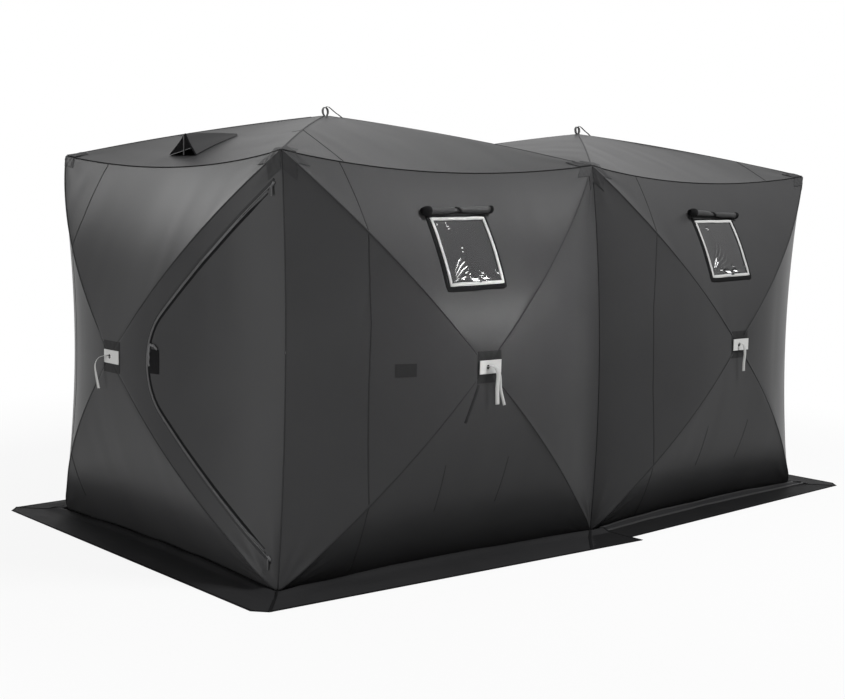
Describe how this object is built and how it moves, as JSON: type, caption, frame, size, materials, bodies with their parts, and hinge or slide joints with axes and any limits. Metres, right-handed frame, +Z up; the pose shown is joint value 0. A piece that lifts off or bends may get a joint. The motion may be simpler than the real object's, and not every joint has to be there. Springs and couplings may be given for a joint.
{
  "type": "pop-up ice fishing shelter",
  "caption": "Pop-up ice fishing shelter of dark coated cloth over bowed poles and hubs, open to the ice, with a zipped end door, clear windows, a propped roof vent and a skirt.",
  "frame": {"origin": "middle of the shelter's footprint, on the ice", "axes": "+X along the long front from the door end to the plain end, +Y from front to back, +Z up"},
  "size_m": [4.1524, 2.51, 2.029],
  "materials": {
    "shell_cloth": "satin",
    "skirt_cloth": "satin",
    "cover_cloth": "matte",
    "window_film": "clear",
    "hook_and_loop": "matte",
    "pole": "satin",
    "hub_plastic": "matte",
    "plate": "satin",
    "webbing": "woven",
    "prop": "satin"
  },
  "bodies": {
    "shelter": {"left_end_wall": "shell_cloth", "right_end_wall": "shell_cloth", "front_left_wall": "shell_cloth", "front_right_wall": "shell_cloth", "back_left_wall": "shell_cloth", "back_right_wall": "shell_cloth", "left_roof": "shell_cloth", "right_roof": "shell_cloth", "left_end_skirt": "skirt_cloth", "right_end_skirt": "skirt_cloth", "front_left_skirt": "skirt_cloth", "front_right_skirt": "skirt_cloth", "back_left_skirt": "skirt_cloth", "back_right_skirt": "skirt_cloth", "front_left_window_pane": "window_film", "front_right_window_pane": "window_film", "back_left_window_pane": "window_film", "back_right_window_pane": "window_film", "front_left_window_border": "hook_and_loop", "front_right_window_border": "hook_and_loop", "back_left_window_border": "hook_and_loop", "back_right_window_border": "hook_and_loop", "front_left_window_roll": "cover_cloth", "front_right_window_roll": "cover_cloth", "back_left_window_roll": "cover_cloth", "back_right_window_roll": "cover_cloth", "left_end_poles": "pole", "right_end_poles": "pole", "front_left_poles": "pole", "front_right_poles": "pole", "back_left_poles": "pole", "back_right_poles": "pole", "left_roof_poles": "pole", "right_roof_poles": "pole", "wall_hubs": "hub_plastic", "roof_hubs": "hub_plastic", "top_joints": "hub_plastic", "foot_joints": "hub_plastic", "hub_patches": "cover_cloth", "hub_plates": "plate", "wall_straps": "webbing", "roof_straps": "webbing", "roof_vent": "cover_cloth", "vent_prop": "prop"},
    "door": {"left_door": "shell_cloth"}
  },
  "joints": [
    {"name": "left_door_hinge", "type": "hinge", "parent": "shelter", "child": "door", "pos_m": [-1.822, -0.845, 0.8825], "axis": [0, 0, 1], "range_deg": [0, 120]}
  ]
}
